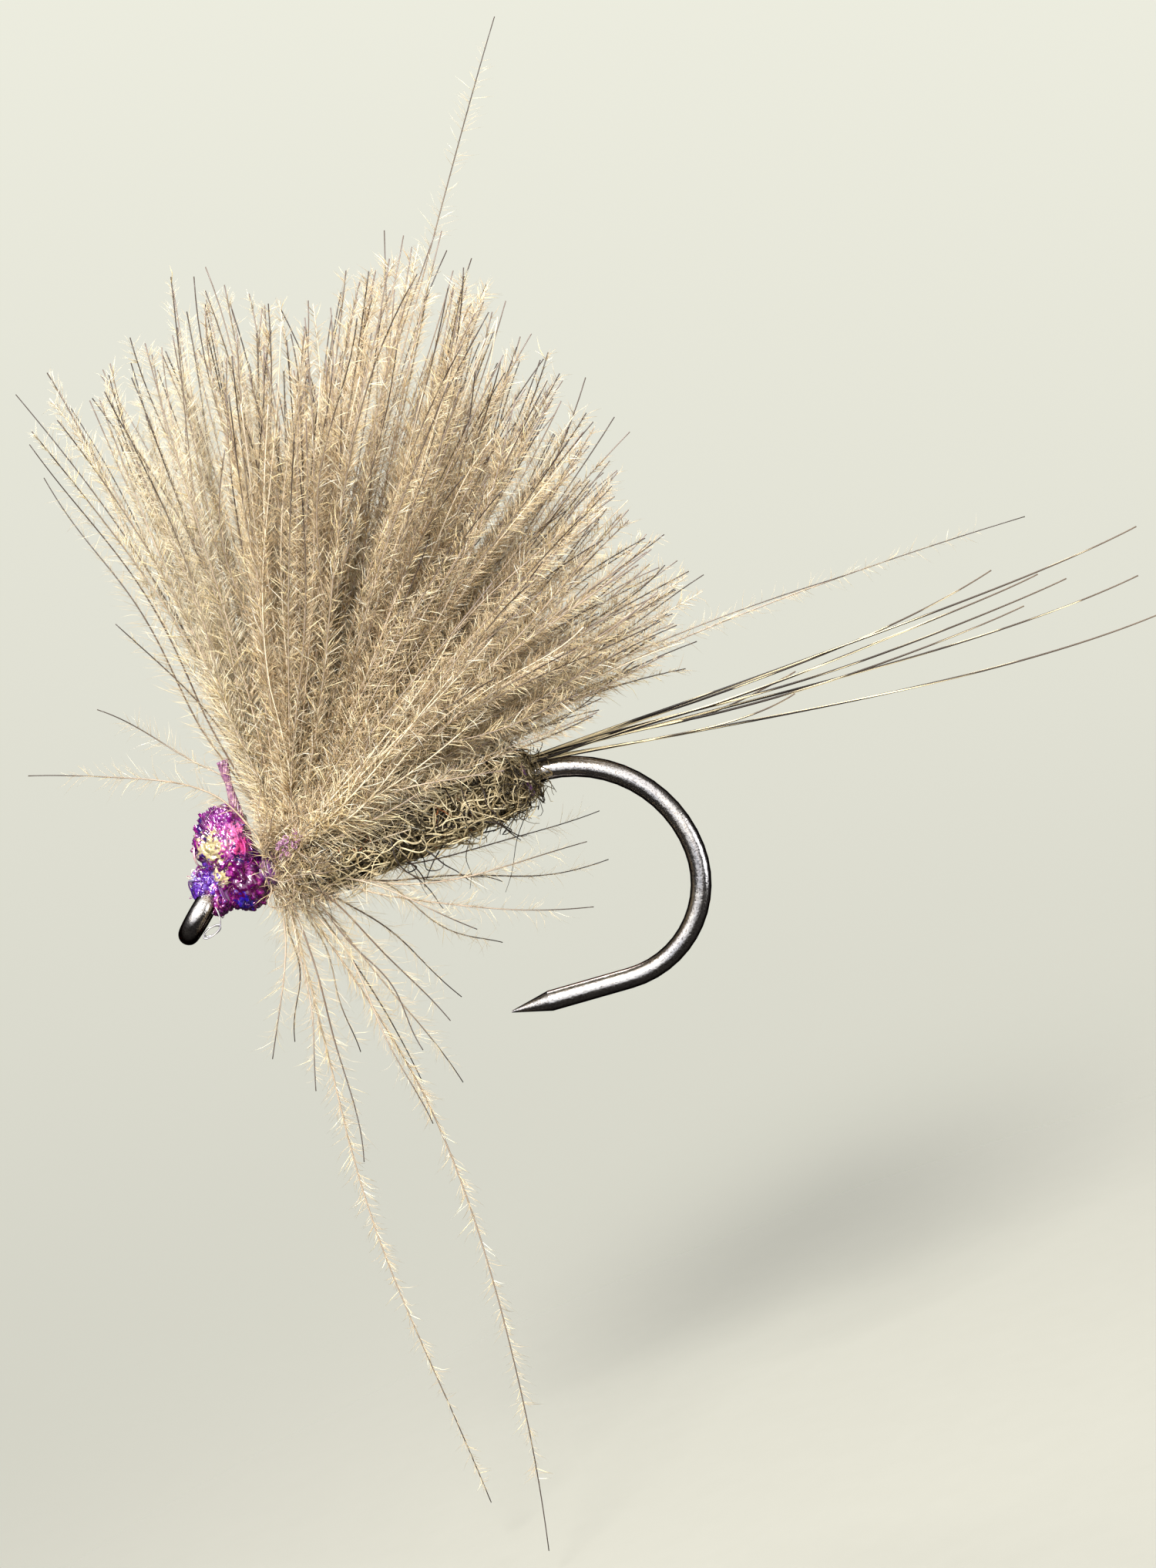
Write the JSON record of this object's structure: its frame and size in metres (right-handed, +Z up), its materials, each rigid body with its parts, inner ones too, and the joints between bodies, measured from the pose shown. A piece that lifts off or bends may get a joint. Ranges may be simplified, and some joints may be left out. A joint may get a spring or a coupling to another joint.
{
  "type": "dry fly",
  "caption": "Dry fly for trout: downy feather-barb wing and hackle, dubbed fur body, tinsel head and a barred fibre tail, lashed to a light-wire barbless hook.",
  "frame": {"origin": "centre of the hole in the hook's eye", "axes": "+X back along the shank from the eye towards the bend, +Z up to the wing side, +Y across the hook to the fly's right"},
  "size_m": [0.0233, 0.0084, 0.0301],
  "materials": {
    "black_nickel_wire": "black nickel plate, glossy with fine pits",
    "purple_thread": "waxed polyester thread, soft sheen",
    "tinsel": "violet pearl tinsel fibres, iridescent gloss",
    "pearl_loop": "clear pearl tinsel, iridescent gloss",
    "body_fur": "olive brown fur dubbing, matt",
    "guard_hair": "dark guard hairs, slight sheen",
    "feather_barb": "beige downy feather barbs, matt",
    "barred_fibre": "dark fibres barred with cream, slight sheen"
  },
  "bodies": {
    "hook_body": {"hook": "black_nickel_wire", "thread_base": "purple_thread", "tail_lashing": "purple_thread", "whip_finish": "purple_thread", "hackle_loop_thread": "purple_thread", "thread_tag": "tinsel", "abdomen_dubbing": "body_fur", "abdomen_guard_hairs": "guard_hair", "thorax_dubbing": "body_fur", "rear_head_dubbing": "tinsel", "front_head_dubbing": "tinsel", "tinsel_loops": "pearl_loop", "wing_tinsel": "tinsel", "tail_butts": "barred_fibre"},
    "wing_front": {"wing_front_barbs": "feather_barb", "wing_forward_strays": "feather_barb"},
    "wing_centre": {"wing_centre_barbs": "feather_barb", "wing_tall_stray": "feather_barb"},
    "wing_rear": {"wing_rear_barbs": "feather_barb", "wing_back_strays": "feather_barb"},
    "hackle_left": {"hackle_left_legs": "feather_barb", "belly_left_barbs": "feather_barb", "hackle_left_streamer": "feather_barb"},
    "hackle_right": {"hackle_right_legs": "feather_barb", "belly_right_barbs": "feather_barb", "hackle_right_streamer": "feather_barb"},
    "tail": {"tail_fibres": "barred_fibre"}
  },
  "joints": [
    {"name": "wing_front_sweep", "type": "hinge", "parent": "hook_body", "child": "wing_front", "pos_m": [0.00215, 0, 0.00037], "axis": [0, 1, 0], "range_deg": [-10, 20], "stiffness_Nm_per_rad": 0.000003},
    {"name": "wing_centre_sweep", "type": "hinge", "parent": "hook_body", "child": "wing_centre", "pos_m": [0.00215, 0, 0.00037], "axis": [0, 1, 0], "range_deg": [-7, 14], "stiffness_Nm_per_rad": 0.000005},
    {"name": "wing_rear_sweep", "type": "hinge", "parent": "hook_body", "child": "wing_rear", "pos_m": [0.00215, 0, 0.00037], "axis": [0, 1, 0], "range_deg": [-3, 6], "stiffness_Nm_per_rad": 0.000003},
    {"name": "hackle_left_splay", "type": "hinge", "parent": "hook_body", "child": "hackle_left", "pos_m": [0.00215, 0, 0.00037], "axis": [-1, 0, 0], "range_deg": [-8, 30], "stiffness_Nm_per_rad": 0.0000003},
    {"name": "hackle_right_splay", "type": "hinge", "parent": "hook_body", "child": "hackle_right", "pos_m": [0.00215, 0, 0.00037], "axis": [1, 0, 0], "range_deg": [-8, 30], "stiffness_Nm_per_rad": 0.0000003},
    {"name": "tail_flex", "type": "hinge", "parent": "hook_body", "child": "tail", "pos_m": [0.00764, 0, 0.00071], "axis": [0, 1, 0], "range_deg": [-15, 10], "stiffness_Nm_per_rad": 0.000001}
  ],
  "couplings": [
    {"joint": "wing_centre_sweep", "follows": "wing_front_sweep", "ratio": 0.7},
    {"joint": "wing_rear_sweep", "follows": "wing_front_sweep", "ratio": 0.3}
  ]
}
